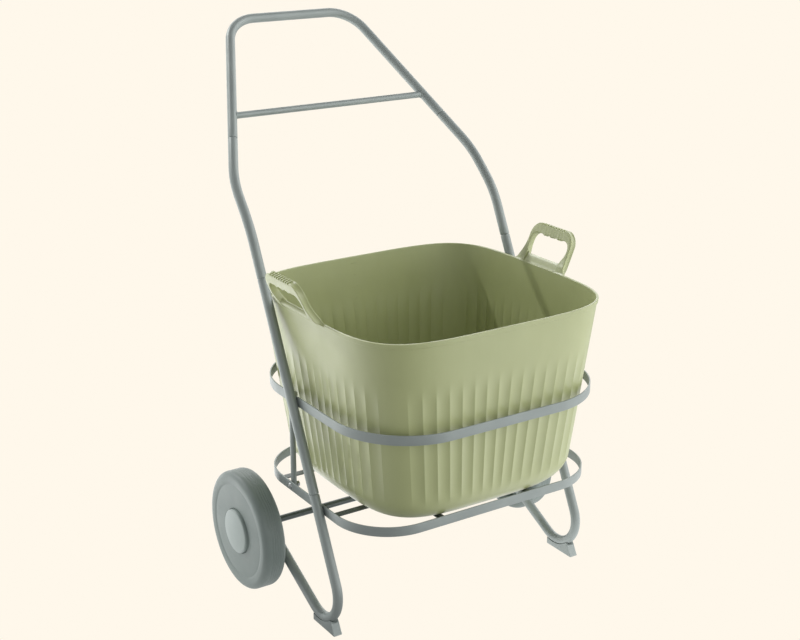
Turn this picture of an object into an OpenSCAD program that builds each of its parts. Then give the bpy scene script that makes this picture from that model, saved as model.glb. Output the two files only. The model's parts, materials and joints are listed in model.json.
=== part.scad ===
// Two-wheeled garden cart: a bent-tube frame with two flat-bar hoops that hold a lift-out tub.
// Lengths are in millimetres. +Z is up, -Y is the front (the feet), +X is the right-hand side
// seen from the front. The origin is on the ground, under the middle of the cart's outline.

/* [Frame tubes] */
// Outside diameter of the frame tubes
tube_d = 19; // [17:0.5:20]
// Wall thickness of the frame tubes
tube_wall = 1.5; // [1:0.25:2]
// Distance from the centre line to the middle of each side tube
side_x = 285; // [284:0.5:300]
// Backward lean of the uprights from the vertical, in degrees
upright_lean = 25.8; // [25:0.2:26.6]
// Distance in front of the axle at which the uprights' line would meet the ground
upright_reach = 321.5; // [318:0.5:326]
// Centre-line radius of the bend at each foot
foot_bend_r = 61; // [58:1:64]
// Centre-line radius of the two bends in each middle tube
middle_bend_r = 220; // [160:10:230]
// Height of the lower tube joint
low_joint_z = 261; // [250:1:300]
// Height of the middle tube joint
mid_joint_z = 636; // [620:1:660]
// Height of the lower bend in the middle tubes
knee_z = 724; // [715:1:730]

/* [Handle] */
// Distance from the centre line to the handle joint
handle_joint_x = 245; // [235:1:255]
// Distance of the handle joint behind the axle
handle_joint_y = 168.5; // [160:0.5:176]
// Height of the handle joint
handle_joint_z = 866; // [850:1:880]
// Distance from the centre line to the handle's top corner
handle_top_x = 141.5; // [130:0.5:160]
// Distance of the handle's top bar behind the axle
handle_top_y = 370.5; // [350:0.5:390]
// Height of the handle's top bar
handle_top_z = 1066.5; // [1040:0.5:1090]
// Centre-line radius of the handle's top corners
handle_corner_r = 76; // [50:2:90]
// Diameter of the handle's crossbar
crossbar_d = 13; // [10:0.5:16]
// Height of the crossbar
crossbar_z = 903; // [895:1:960]

/* [Hoops, struts and straps] */
// Height of the hoops' flat bar
bar_h = 19; // [15:1:24]
// Thickness of the hoops' flat bar
bar_t = 3; // [2:0.5:4]
// Height of the upper hoop's middle
upper_hoop_z = 420; // [410:1:430]
// Half the length of the upper hoop from front to back
upper_hoop_half_y = 258; // [257:1:264]
// Outer corner radius of the upper hoop
upper_hoop_r = 155; // [140:5:160]
// Distance of the upper hoop's middle in front of the axle
upper_hoop_ahead = 154; // [152:0.5:156]
// Height of the lower hoop's middle
lower_hoop_z = 232.5; // [228:0.5:238]
// Half the length of the lower hoop from front to back
lower_hoop_half_y = 219; // [217:1:226]
// Outer corner radius of the lower hoop
lower_hoop_r = 114; // [100:2:120]
// Distance of the lower hoop's middle in front of the axle
lower_hoop_ahead = 152; // [150:0.5:154]
// Diameter of the struts between the hoops
strut_d = 11; // [9:0.5:12]
// Distance of the struts in front of the axle
strut_ahead = 84; // [76:1:92]
// Width of the support straps
strap_w = 15; // [10:1:20]
// Thickness of the support straps
strap_t = 2; // [1.5:0.5:2]
// Distances of the two cross straps in front of the axle
cross_strap_ahead = [28, 227]; // [20:1:260]
// Distance of the front-to-back straps from the centre line
long_strap_x = 100; // [80:1:130]

/* [Wheels] */
// Diameter of the wheels
wheel_d = 240; // [236:2:244]
// Width of the wheels
wheel_w = 49; // [46:1:56]
// Gap between the side tubes and the wheels
wheel_gap = 9.8; // [9:0.2:14]
// Diameter of the axle
axle_d = 14; // [12:0.5:15]
// Diameter of the hub caps
hub_cap_d = 90; // [84:1:94]
// Depth of the recess in the wheel's outer face
web_recess = 2; // [1.5:0.5:4]

/* [Tub] */
// Height of the tub without its handles
tub_h = 375; // [360:1:380]
// Half the width of the tub at its rim
tub_half_x = 275; // [268:0.5:275]
// Half the length of the tub at its rim
tub_half_y = 267.2; // [260:0.2:268]
// Half the width of the tub at its base, before the edge is rounded
tub_base_half_x = 229.4; // [220:0.2:230]
// Half the length of the tub at its base, before the edge is rounded
tub_base_half_y = 224.2; // [216:0.2:225]
// Distance of the rim's middle in front of the axle
tub_rim_ahead = 145; // [144:0.5:146]
// Distance of the base's middle in front of the axle
tub_base_ahead = 153; // [152:0.5:154]
// Squareness of the rim: 2 is an ellipse, and larger is squarer
tub_rim_power = 4.5; // [3.5:0.1:4.6]
// Squareness of the base
tub_base_power = 4.1; // [3.5:0.1:4.2]
// Radius of the tub's bottom edge
tub_edge_r = 56; // [50:1:60]
// Wall thickness of the tub
tub_wall = 3.5; // [3:0.25:5]
// Length of the tub's handles from front to back
grip_w = 129; // [124:1:134]
// Height of the tub's handles above the rim, along their slope
grip_h = 80; // [76:1:84]
// Outward slope of the tub's handles from the vertical, in degrees
grip_slope = 20.5; // [16:0.5:24]

/* [Hidden] */
$fn = 72;
tube_r = tube_d / 2;
bore_r = tube_r - tube_wall;
seam_gap = 0.5;              // open seam at each tube joint
bend_swell = 0.15;           // how much a bend is thicker than the straights that run into it
bend_overlap = 0.5;          // how far each straight runs into a bend
spigot_l = 25;
spigot_r = bore_r - 0.04;
spigot_bore_r = spigot_r - 1.5;
spigot_root = 3;             // how far each spigot runs up inside its own tube
joint_screw_drop = 12;       // distance of each joint screw below its joint
past = 1;                    // how far a cutter runs past the faces that it opens

axle_z = wheel_d / 2;
wheel_r = wheel_d / 2;
shoulder_r = 12;
rim_t = 14;
web_t = 7;
hub_r = 22;
bush_r = axle_d / 2 + 2.5;
rib_n = 8;                   // ribs on the inner side of each wheel's web
rib_t = 4;
rib_z = 8;                   // distance of the ribs' edges outwards from the inner face
wheel_in_x = side_x + tube_r + wheel_gap;
wheel_out_x = wheel_in_x + wheel_w;
web_out_x = wheel_out_x - web_recess;
hub_out_x = web_out_x;
cap_rise = 9;                // height of the hub cap's middle above the web
cap_skirt = 6;
cap_wall = 2;
sleeve_r = axle_d / 2 + 4;
sleeve_l = 31;
washer_t = 1.5;
axle_cap_h = 3.6;
running_gap = 0.05;          // radial clearance of the axle in its bushes and sleeves
side_gap = 0.5;              // end clearance of each wheel
axle_end_x = hub_out_x + side_gap + washer_t + 4;

foot_w = 18;
foot_front_y = -276;
foot_rear_y = -197;
foot_front_slope = 20;       // distance the front face leans back up to the foot's uncut height
foot_cheek = 4.5;            // how far the foot's sides stop outside the tube's centre line

hoop_half_x = side_x - tube_r;
hoop_screw_d = 6;
insert_d = 9;
bolt_head_d = 11;            // heads of the hoop screws and strut bolts
bolt_head_h = 3;
joint_screw_d = 5;
joint_head_d = 9;
joint_head_h = 2.4;
foot_screw_d = 4;
foot_head_d = 8.2;
foot_head_h = 2.1;
hole_slack = 0.2;            // how much wider each screw's hole is than the screw
nut_t = 5;
nut_d = 11.5;                // across the nuts' corners
strap_z = lower_hoop_z - bar_h / 2;
tub_z = strap_z + 2 * strap_t;
rim_z = tub_z + tub_h;
lip_h = 9;
lip_t = 1.6;                 // how far the lip stands out from the wall
grip_t = 10;
grip_reach = 11;             // how far each handle's plane stands outside the rim
grip_middle_ahead = 146;
grip_corner_r = 28;
grip_foot_h = 14;            // height of the finger gap's lower edge along the slope
grip_bar = 21.6;
grip_hole_r = 15;            // radius of the finger gap's upper corners
grip_leg = 6.5;
grip_leg_foot = 14.5;        // width of each leg at its foot
grip_flange_over = 8;        // how far the flange under each handle runs past its legs
outline_n = 80;              // points around each of the tub's outlines
edge_steps = 7;              // steps up the rounded bottom edge

frame_colour = "#66736f";
axle_colour = "#3a423f";
wheel_colour = "#6b7a75";
steel_colour = "#9aa09e";
tub_colour = "#a3ad80";

// The cart's outline runs from the front of the tub's rim to the back of the handle.
centre_shift = ((tub_rim_ahead + tub_half_y) - (handle_top_y + tube_r)) / 2;

function unit(v) = v / norm(v);
function flipped(v) = [-v.x, v.y, v.z];
function on_upright(z) = [side_x, z * tan(upright_lean) - upright_reach, z];

upright_dir = unit([0, tan(upright_lean), 1]);
low_joint = on_upright(low_joint_z);
mid_joint = on_upright(mid_joint_z);
knee = on_upright(knee_z);
handle_joint = [handle_joint_x, handle_joint_y, handle_joint_z];
handle_top = [handle_top_x, handle_top_y, handle_top_z];
handle_dir = unit(handle_top - handle_joint);
shoulder = handle_joint - handle_dir * (side_x - 5.5 - handle_joint_x) / -handle_dir.x;
axle_point = [side_x, 0, axle_z];

// The foot's corner is where the upright's line meets the line from it to the axle. The rear
// leg rises at the angle that puts the bend's lowest point just above the sole.
rear_leg_run = 1.966;        // rearward distance for each unit of height
foot_corner_z = (rear_leg_run * axle_z - upright_reach) / (rear_leg_run - tan(upright_lean));
foot_corner = on_upright(foot_corner_z);
rear_leg_dir = unit(axle_point - foot_corner);
foot_half_turn = (180 - acos(upright_dir * rear_leg_dir)) / 2;
foot_centre = foot_corner + unit(upright_dir + rear_leg_dir) * foot_bend_r / cos(foot_half_turn);

// ---------- placing helpers ----------

module in_cart() {
    translate([0, centre_shift, 0])
        children();
}

// side is 1 for the right-hand side and -1 for the left
module on_side(side) {
    in_cart()
        if (side < 0)
            mirror([1, 0, 0])
                children();
        else
            children();
}

module along_axes(u, v, w, at) {
    multmatrix([
        [u.x, v.x, w.x, at.x],
        [u.y, v.y, w.y, at.y],
        [u.z, v.z, w.z, at.z],
        [0, 0, 0, 1]])
        children();
}

// Points the child's Z axis from a towards b
module aim(a, b) {
    w = unit(b - a);
    u = unit(abs(w.x) < 0.9 ? cross([1, 0, 0], w) : cross([0, 1, 0], w));
    along_axes(u, cross(w, u), w, a)
        children();
}

// A round bar along X between two distances from the centre line
module x_bar(from_x, to_x, r, y, z) {
    translate([from_x, y, z])
        rotate([0, 90, 0])
            cylinder(r = r, h = to_x - from_x);
}

// ---------- tube helpers ----------

module rod(a, b, r) {
    aim(a, b)
        cylinder(r = r, h = norm(b - a));
}

module ring_section(outer_r, inner_r) {
    difference() {
        circle(r = outer_r);
        circle(r = inner_r);
    }
}

function bend_reach(before, corner, after, radius) =
    radius * tan(acos(unit(corner - before) * unit(after - corner)) / 2);

module bend(before, corner, after, radius, r) {
    u = unit(corner - before);
    v = unit(after - corner);
    inward = unit(v - u * (u * v));
    start = corner - u * bend_reach(before, corner, after, radius);
    along_axes(-inward, u, cross(-inward, u), start + inward * radius)
        rotate_extrude(angle = acos(u * v))
            translate([radius, 0])
                circle(r = r + bend_swell);
}

// A solid round rod along straight lines and round bends
module bent_rod(points, radius, r) {
    last = len(points) - 1;
    cut = [for (i = [0:last]) i == 0 || i == last ? 0
        : bend_reach(points[i - 1], points[i], points[i + 1], radius) - bend_overlap];
    for (i = [0:last - 1]) {
        along = unit(points[i + 1] - points[i]);
        rod(points[i] + along * cut[i], points[i + 1] - along * cut[i + 1], r);
    }
    for (i = [1:last - 1])
        bend(points[i - 1], points[i], points[i + 1], radius, r);
}

// The same points with both end points moved outwards by over
function lengthened(points, over) =
    let (last = len(points) - 1)
    [for (i = [0:last])
        i == 0 ? points[0] - unit(points[1] - points[0]) * over
        : i == last ? points[last] + unit(points[last] - points[last - 1]) * over
        : points[i]];

// The reduced end that fits inside the next tube, pointing back along the tube from its joint
module spigot(joint, along) {
    rod(joint - along * spigot_l, joint + along * spigot_root, spigot_r);
}

module spigot_bore(joint, along) {
    rod(joint - along * (spigot_l + past), joint + along * (spigot_root + past), spigot_bore_r);
}

// Places the child on the rear of a tube, just below one of its joints
module at_joint_screw(joint, along) {
    rear = unit(cross(along, [1, 0, 0]));
    at = joint - along * joint_screw_drop;
    aim(at, at + rear)
        children();
}

module joint_screw_hole(joint, along) {
    at_joint_screw(joint, along)
        cylinder(d = joint_screw_d + hole_slack, h = 2 * tube_r);
}

// ---------- frame tubes ----------

module handle_bar() {
    left_joint = flipped(handle_joint);
    left_top = flipped(handle_top);
    left_dir = flipped(handle_dir);
    points = [left_joint, left_top, handle_top, handle_joint];
    color(frame_colour)
        in_cart()
            difference() {
                union() {
                    bent_rod(points, handle_corner_r, tube_r);
                    spigot(handle_joint, handle_dir);
                    spigot(left_joint, left_dir);
                }
                bent_rod(lengthened(points, -spigot_root), handle_corner_r, bore_r);
                spigot_bore(handle_joint, handle_dir);
                spigot_bore(left_joint, left_dir);
                joint_screw_hole(handle_joint, handle_dir);
                joint_screw_hole(left_joint, left_dir);
            }
}

// The ends are hollowed to sit against the handle's legs
module handle_crossbar() {
    end = handle_joint + handle_dir * (crossbar_z - handle_joint_z) / handle_dir.z;
    color(frame_colour)
        in_cart()
            difference() {
                rod(flipped(end), end, crossbar_d / 2);
                rod(handle_joint, handle_top, tube_r);
                rod(flipped(handle_joint), flipped(handle_top), tube_r);
            }
}

module middle_tube(side) {
    points = [mid_joint, knee, shoulder, handle_joint - handle_dir * seam_gap];
    bore = [mid_joint + upright_dir * spigot_root, knee, shoulder, handle_joint + handle_dir];
    color(frame_colour)
        on_side(side)
            difference() {
                union() {
                    bent_rod(points, middle_bend_r, tube_r);
                    spigot(mid_joint, upright_dir);
                }
                bent_rod(bore, middle_bend_r, bore_r);
                spigot_bore(mid_joint, upright_dir);
                joint_screw_hole(mid_joint, upright_dir);
                joint_screw_hole(handle_joint, handle_dir);
            }
}

module upright(side) {
    color(frame_colour)
        on_side(side)
            difference() {
                union() {
                    rod(low_joint, mid_joint - upright_dir * seam_gap, tube_r);
                    spigot(low_joint, upright_dir);
                }
                rod(low_joint + upright_dir * spigot_root, mid_joint + upright_dir, bore_r);
                spigot_bore(low_joint, upright_dir);
                joint_screw_hole(low_joint, upright_dir);
                joint_screw_hole(mid_joint, upright_dir);
                insert_hole(upper_hoop_z);
            }
}

module foot_loop(side) {
    points = [low_joint - upright_dir * seam_gap, foot_corner, axle_point];
    color(frame_colour)
        on_side(side)
            difference() {
                bent_rod(points, foot_bend_r, tube_r);
                bent_rod(lengthened(points, past), foot_bend_r, bore_r);
                x_bar(side_x - 2 * tube_r, side_x + 2 * tube_r, sleeve_r, 0, axle_z);
                joint_screw_hole(low_joint, upright_dir);
                insert_hole(lower_hoop_z);
                translate([side_x, foot_centre.y, 0])
                    cylinder(d = foot_screw_d + hole_slack, h = foot_centre.z - foot_bend_r);
            }
}

module axle_sleeve(side) {
    color(frame_colour)
        on_side(side)
            axle_ring(wheel_in_x - side_gap - washer_t - sleeve_l, sleeve_l, sleeve_r,
                axle_d / 2 + running_gap);
}

// ---------- feet ----------

module foot(side) {
    profile = [[foot_front_y, 0], [foot_rear_y, 0], [foot_rear_y, foot_centre.z / 2],
        [foot_front_y + foot_front_slope, foot_centre.z / 2]];
    color(frame_colour)
        on_side(side)
            difference() {
                translate([side_x - foot_w / 2, 0, 0])
                    rotate([90, 0, 90])
                        linear_extrude(height = foot_w)
                            polygon(profile);
                x_bar(side_x - foot_w, side_x + foot_w, foot_bend_r + foot_cheek,
                    foot_centre.y, foot_centre.z);
                along_axes([0, 1, 0], [0, 0, 1], [1, 0, 0], foot_centre)
                    rotate_extrude()
                        translate([foot_bend_r, 0])
                            circle(r = tube_r + bend_swell + running_gap);
                at_foot_screw()
                    cylinder(d = foot_screw_d + hole_slack, h = 4 * foot_cheek);
                at_foot_screw()
                    cylinder(d1 = foot_head_d + 1, d2 = foot_screw_d + hole_slack,
                        h = foot_head_h + 0.4);
            }
}

module at_foot_screw() {
    translate([side_x, foot_centre.y, 0])
        children();
}

module foot_screws() {
    head_z = 0.4;
    color(steel_colour)
        for (side = [-1, 1])
            on_side(side)
                at_foot_screw()
                    translate([0, 0, head_z]) {
                        cylinder(d1 = foot_head_d, d2 = foot_screw_d, h = foot_head_h);
                        cylinder(d = foot_screw_d, h = 14);
                    }
}

// ---------- joint screws ----------

module joint_screws() {
    joints = [[low_joint, upright_dir], [mid_joint, upright_dir], [handle_joint, handle_dir]];
    color(steel_colour)
        for (side = [-1, 1], j = joints)
            on_side(side)
                at_joint_screw(j[0], j[1]) {
                    translate([0, 0, spigot_bore_r - past])
                        cylinder(d = joint_screw_d, h = tube_r - spigot_bore_r + past);
                    translate([0, 0, tube_r])
                        button_head(joint_head_d, joint_head_h);
                }
}

// A low domed screw head standing on z = 0
module button_head(d, h) {
    ball_r = (d * d / 4 + h * h) / (2 * h);
    intersection() {
        cylinder(d = d, h = h);
        translate([0, 0, h - ball_r])
            sphere(r = ball_r);
    }
}

// ---------- hoops ----------

module rounded_plate(half_x, half_y, r) {
    square([2 * half_x, 2 * (half_y - r)], center = true);
    square([2 * (half_x - r), 2 * half_y], center = true);
    for (sx = [-1, 1], sy = [-1, 1])
        translate([sx * (half_x - r), sy * (half_y - r)])
            circle(r = r);
}

module hoop(half_y, r, ahead, z) {
    translate([0, -ahead, z - bar_h / 2])
        linear_extrude(height = bar_h)
            difference() {
                rounded_plate(hoop_half_x, half_y, r);
                rounded_plate(hoop_half_x - bar_t, half_y - bar_t, r - bar_t);
            }
}

// Where a hoop crosses the inner side of a side tube
module at_hoop_screw(z) {
    translate([0, on_upright(z).y, z])
        rotate([0, 90, 0])
            children();
}

module insert_hole(z) {
    at_hoop_screw(z)
        cylinder(d = insert_d + hole_slack, h = side_x);
}

module hoop_side_holes(z) {
    at_hoop_screw(z)
        cylinder(d = hoop_screw_d + 2 * hole_slack, h = side_x);
    translate([0, -strut_ahead, z])
        rotate([0, 90, 0])
            cylinder(d = hoop_screw_d + 2 * hole_slack, h = side_x);
}

module upper_hoop() {
    color(frame_colour)
        in_cart()
            difference() {
                hoop(upper_hoop_half_y, upper_hoop_r, upper_hoop_ahead, upper_hoop_z);
                hoop_side_holes(upper_hoop_z);
                mirror([1, 0, 0])
                    hoop_side_holes(upper_hoop_z);
            }
}

module lower_hoop() {
    color(frame_colour)
        in_cart()
            difference() {
                hoop(lower_hoop_half_y, lower_hoop_r, lower_hoop_ahead, lower_hoop_z);
                hoop_side_holes(lower_hoop_z);
                mirror([1, 0, 0])
                    hoop_side_holes(lower_hoop_z);
            }
}

module hoop_screws() {
    inner_x = hoop_half_x - bar_t;
    color(steel_colour)
        for (side = [-1, 1], z = [lower_hoop_z, upper_hoop_z])
            on_side(side)
                at_hoop_screw(z) {
                    translate([0, 0, inner_x])
                        cylinder(d = hoop_screw_d, h = bar_t + 11);
                    translate([0, 0, inner_x])
                        mirror([0, 0, 1])
                            button_head(bolt_head_d, bolt_head_h);
                }
}

// Threaded inserts in the side tubes
module hoop_inserts() {
    color(steel_colour)
        for (side = [-1, 1], z = [lower_hoop_z, upper_hoop_z])
            on_side(side)
                at_hoop_screw(z)
                    translate([0, 0, hoop_half_x + 0.1])
                        linear_extrude(height = 10)
                            ring_section(insert_d / 2, hoop_screw_d / 2 + 0.05);
}

// ---------- struts and straps ----------

module strut(side) {
    x = hoop_half_x - bar_t - strut_d / 2;
    bottom = lower_hoop_z - bar_h / 2 + 2;
    top = upper_hoop_z + bar_h / 2 - 2;
    color(frame_colour)
        on_side(side)
            difference() {
                translate([x, -strut_ahead, bottom])
                    linear_extrude(height = top - bottom)
                        ring_section(strut_d / 2, strut_d / 2 - 1.2);
                for (z = [lower_hoop_z, upper_hoop_z])
                    x_bar(x - strut_d, x + strut_d, hoop_screw_d / 2 + hole_slack, -strut_ahead,
                        z);
            }
}

module strut_bolts() {
    nut_x = hoop_half_x - bar_t - strut_d;
    color(steel_colour)
        for (side = [-1, 1], z = [lower_hoop_z, upper_hoop_z])
            on_side(side)
                translate([0, -strut_ahead, z])
                    rotate([0, 90, 0]) {
                        translate([0, 0, nut_x - nut_t - 0.5])
                            cylinder(d = hoop_screw_d, h = hoop_half_x - nut_x + nut_t + 0.5);
                        translate([0, 0, hoop_half_x])
                            button_head(bolt_head_d, bolt_head_h);
                    }
}

module strut_nuts() {
    nut_x = hoop_half_x - bar_t - strut_d;
    color(steel_colour)
        for (side = [-1, 1], z = [lower_hoop_z, upper_hoop_z])
            on_side(side)
                translate([nut_x - nut_t, -strut_ahead, z])
                    rotate([0, 90, 0])
                        difference() {
                            cylinder(d = nut_d, h = nut_t, $fn = 6);
                            cylinder(d = hoop_screw_d + 0.1, h = nut_t);
                        }
}

module inside_lower_hoop(z, h) {
    translate([0, -lower_hoop_ahead, z])
        linear_extrude(height = h)
            rounded_plate(hoop_half_x - bar_t, lower_hoop_half_y - bar_t, lower_hoop_r - bar_t);
}

module cross_strap(ahead) {
    color(frame_colour)
        in_cart()
            intersection() {
                inside_lower_hoop(strap_z, strap_t);
                translate([-side_x, -ahead - strap_w / 2, strap_z])
                    cube([2 * side_x, strap_w, strap_t]);
            }
}

module long_strap(side) {
    z = strap_z + strap_t;
    color(frame_colour)
        on_side(side)
            intersection() {
                inside_lower_hoop(z, strap_t);
                translate([long_strap_x - strap_w / 2, -lower_hoop_ahead - lower_hoop_half_y, z])
                    cube([strap_w, 2 * lower_hoop_half_y, strap_t]);
            }
}

// ---------- axle and wheels ----------

module axle() {
    color(axle_colour)
        in_cart()
            x_bar(-axle_end_x, axle_end_x, axle_d / 2, 0, axle_z);
}

// A flat ring on the axle, starting at a distance from the centre line
module axle_ring(from_x, width, outer_r, inner_r) {
    translate([from_x, 0, axle_z])
        rotate([0, 90, 0])
            linear_extrude(height = width)
                ring_section(outer_r, inner_r);
}

module inner_washers() {
    color(steel_colour)
        for (side = [-1, 1])
            on_side(side)
                axle_ring(wheel_in_x - side_gap - washer_t, washer_t, axle_d, axle_d / 2 + 0.1);
}

module outer_washers() {
    color(steel_colour)
        for (side = [-1, 1])
            on_side(side)
                axle_ring(hub_out_x + side_gap, washer_t, axle_d, axle_d / 2 + 0.1);
}

// Push-on caps that hold the washers on the axle's ends
module axle_caps() {
    start = hub_out_x + side_gap + washer_t;
    bore = axle_d / 2 + 0.02;
    flange = axle_d / 2 + 4;
    body = axle_d / 2 + 1.5;
    color(steel_colour)
        for (side = [-1, 1])
            on_side(side)
                translate([start, 0, axle_z])
                    rotate([0, 90, 0])
                        rotate_extrude()
                            polygon([[bore, 0], [flange, 0], [flange, 1], [body, 1.6],
                                [body, axle_cap_h], [bore, axle_cap_h]]);
}

// The wheel's half section: x is the distance from the axle, y the distance outwards from the
// wheel's inner face
module wheel_section() {
    web_out = wheel_w - web_recess;
    difference() {
        union() {
            translate([wheel_r - rim_t, shoulder_r])
                square([rim_t, wheel_w - 2 * shoulder_r]);
            translate([wheel_r - rim_t, 0])
                square([rim_t - shoulder_r, wheel_w]);
            for (y = [shoulder_r, wheel_w - shoulder_r])
                translate([wheel_r - shoulder_r, y])
                    circle(r = shoulder_r);
            translate([bush_r, web_out - web_t])
                square([wheel_r - rim_t - bush_r + past, web_t]);
            translate([bush_r, 0])
                square([hub_r - bush_r, web_out]);
        }
        translate([hub_cap_d / 2 - cap_wall - 0.2, web_out - 4])
            square([cap_wall + 1.2, 8]);
    }
}

module wheel(side) {
    color(wheel_colour)
        on_side(side)
            translate([wheel_in_x, 0, axle_z])
                rotate([0, 90, 0]) {
                    rotate_extrude($fn = 144)
                        wheel_section();
                    for (i = [0:rib_n - 1])
                        rotate([0, 0, 360 * (i + 0.5) / rib_n])
                            translate([hub_r - past, -rib_t / 2, rib_z])
                                cube([wheel_r - rim_t - hub_r + 2 * past, rib_t,
                                    wheel_w - web_recess - web_t - rib_z + past]);
                }
}

module hub_bush(side) {
    color("#c9c8c0")
        on_side(side)
            axle_ring(wheel_in_x, hub_out_x - wheel_in_x, bush_r - 0.02, axle_d / 2 + running_gap);
}

// A domed shell with a skirt that snaps into the groove around the wheel's hub
module hub_cap(side) {
    r = hub_cap_d / 2;
    dome_h = cap_rise - cap_skirt;
    ball_r = (r * r + dome_h * dome_h) / (2 * dome_h);
    color(wheel_colour)
        on_side(side)
            translate([web_out_x, 0, axle_z])
                rotate([0, 90, 0])
                    rotate_extrude($fn = 96)
                        difference() {
                            union() {
                                intersection() {
                                    translate([0, cap_rise - ball_r])
                                        circle(r = ball_r, $fn = 360);
                                    translate([0, cap_skirt])
                                        square([r, cap_rise]);
                                }
                                translate([0, -3])
                                    square([r, cap_skirt + 3]);
                            }
                            intersection() {
                                translate([0, cap_rise - ball_r])
                                    circle(r = ball_r - cap_wall, $fn = 360);
                                square([r - cap_wall, cap_rise]);
                            }
                            translate([0, -4])
                                square([r - cap_wall, 4 + cap_skirt]);
                            translate([-2 * ball_r, -2 * ball_r])
                                square([2 * ball_r, 4 * ball_r]);
                        }
}

// ---------- tub ----------

function power(v, p) = sign(v) * pow(abs(v), p);

// One level outline of the tub, where rise is 0 at the base and 1 at the rim
function outline(rise, inset, z) =
    let (a = tub_base_half_x + (tub_half_x - lip_t - tub_base_half_x) * rise - inset,
        b = tub_base_half_y + (tub_half_y - lip_t - tub_base_half_y) * rise - inset,
        p = 2 / (tub_base_power + (tub_rim_power - tub_base_power) * rise),
        y = -tub_base_ahead + (tub_base_ahead - tub_rim_ahead) * rise)
    [for (i = [0:outline_n - 1])
        let (t = 360 * i / outline_n)
        [a * power(cos(t), p), y + b * power(sin(t), p), z]];

// Outlines up a wall whose bottom edge is rounded, inset from the outer surface
function wall_outlines(inset, from_z, top_z, edge_r) =
    concat(
        [for (i = [0:edge_steps - 1])
            let (t = 90 * i / edge_steps, z = from_z + edge_r * (1 - cos(t)))
            outline((z - tub_z) / tub_h, inset + edge_r * (1 - sin(t)), z)],
        [for (i = [0:3])
            let (z = from_z + edge_r + (top_z - from_z - edge_r) * i / 3)
            outline((z - tub_z) / tub_h, inset, z)]);

function reversed(list) = [for (i = [len(list) - 1:-1:0]) list[i]];

tub_outlines = concat(
    wall_outlines(0, tub_z, rim_z - lip_h, tub_edge_r),
    [outline(1, -lip_t, rim_z - lip_h + 1), outline(1, -lip_t, rim_z - 1),
        outline(1, 1 - lip_t, rim_z), outline(1, tub_wall - 1, rim_z),
        outline(1, tub_wall, rim_z - 1)],
    reversed(wall_outlines(tub_wall, tub_z + tub_wall, rim_z - 8, tub_edge_r - tub_wall)));

// Skins a stack of outlines and closes both ends
module skin(outlines) {
    n = len(outlines[0]);
    count = len(outlines);
    polyhedron(
        points = [for (o = outlines) for (p = o) p],
        faces = concat(
            [[for (i = [0:n - 1]) i]],
            [for (k = [0:count - 2]) for (i = [0:n - 1])
                [k * n + i, (k + 1) * n + i, (k + 1) * n + (i + 1) % n, k * n + (i + 1) % n]],
            [[for (i = [n - 1:-1:0]) (count - 1) * n + i]]),
        convexity = 6);
}

// A handle's outline, whose two upper corners are round
module grip_outline(half_base, half_top, bottom, top, r) {
    polygon([[-half_base, bottom], [half_base, bottom], [half_top, top - r],
        [half_top - r, top - r], [half_top - r, top], [r - half_top, top],
        [r - half_top, top - r], [-half_top, top - r]]);
    for (s = [-1, 1])
        translate([s * (half_top - r), top - r])
            circle(r = r);
}

// A point of a handle's section: rise runs up the slope from the rim, out runs through it
function on_grip(rise, out) = [
    tub_half_x + grip_reach + rise * sin(grip_slope) + out * cos(grip_slope),
    rim_z + rise * cos(grip_slope) - out * sin(grip_slope)];

module tub_grip() {
    half = grip_w / 2;
    hole_top = grip_h - grip_bar;
    translate([tub_half_x + grip_reach, -grip_middle_ahead, rim_z])
        rotate([0, grip_slope, 0])
            rotate([90, 0, 90])
                translate([0, 0, -grip_t / 2])
                    linear_extrude(height = grip_t)
                        difference() {
                            grip_outline(half + 2, half, grip_foot_h / 2, grip_h, grip_corner_r);
                            grip_outline(half - grip_leg_foot, half - grip_leg, grip_foot_h,
                                hole_top, grip_hole_r);
                        }
    tub_grip_flange();
}

// Joins a handle to the tub's rim
module tub_grip_flange() {
    half = grip_w / 2 + grip_flange_over;
    half_t = grip_t / 2 - 0.5;
    wall_x = tub_half_x - lip_t - tub_wall / 2;
    translate([0, half - grip_middle_ahead, 0])
        rotate([90, 0, 0])
            linear_extrude(height = 2 * half)
                polygon([[wall_x, rim_z - 0.5], on_grip(grip_foot_h, -half_t),
                    on_grip(grip_foot_h, half_t), on_grip(grip_foot_h / 2 - 1, half_t),
                    [tub_half_x - 1, rim_z - lip_h], [wall_x, rim_z - lip_h]]);
}

module tub() {
    color(tub_colour)
        in_cart() {
            skin(tub_outlines);
            difference() {
                union() {
                    tub_grip();
                    mirror([1, 0, 0])
                        tub_grip();
                }
                skin(tub_room);
            }
        }
}

// The room inside the tub, which the handles' lower ends stay out of
tub_room = wall_outlines(tub_wall / 2, tub_z + tub_wall, rim_z, tub_edge_r - tub_wall);

handle_bar();
handle_crossbar();
middle_tube(-1);  // middle_tube_left
middle_tube(1);  // middle_tube_right
upright(-1);  // upright_left
upright(1);  // upright_right
foot_loop(-1);  // foot_loop_left
foot_loop(1);  // foot_loop_right
axle_sleeve(-1);  // axle_sleeve_left
axle_sleeve(1);  // axle_sleeve_right
foot(-1);  // foot_left
foot(1);  // foot_right
foot_screws();
joint_screws();
upper_hoop();
lower_hoop();
hoop_screws();
hoop_inserts();
strut(-1);  // strut_left
strut(1);  // strut_right
strut_bolts();
strut_nuts();
cross_strap(cross_strap_ahead[1]);  // cross_strap_front
cross_strap(cross_strap_ahead[0]);  // cross_strap_rear
long_strap(-1);  // long_strap_left
long_strap(1);  // long_strap_right
axle();
inner_washers();
outer_washers();
axle_caps();
wheel(-1);  // wheel_left
wheel(1);  // wheel_right
hub_bush(-1);  // hub_bush_left
hub_bush(1);  // hub_bush_right
hub_cap(-1);  // hub_cap_left
hub_cap(1);  // hub_cap_right
tub();
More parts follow.
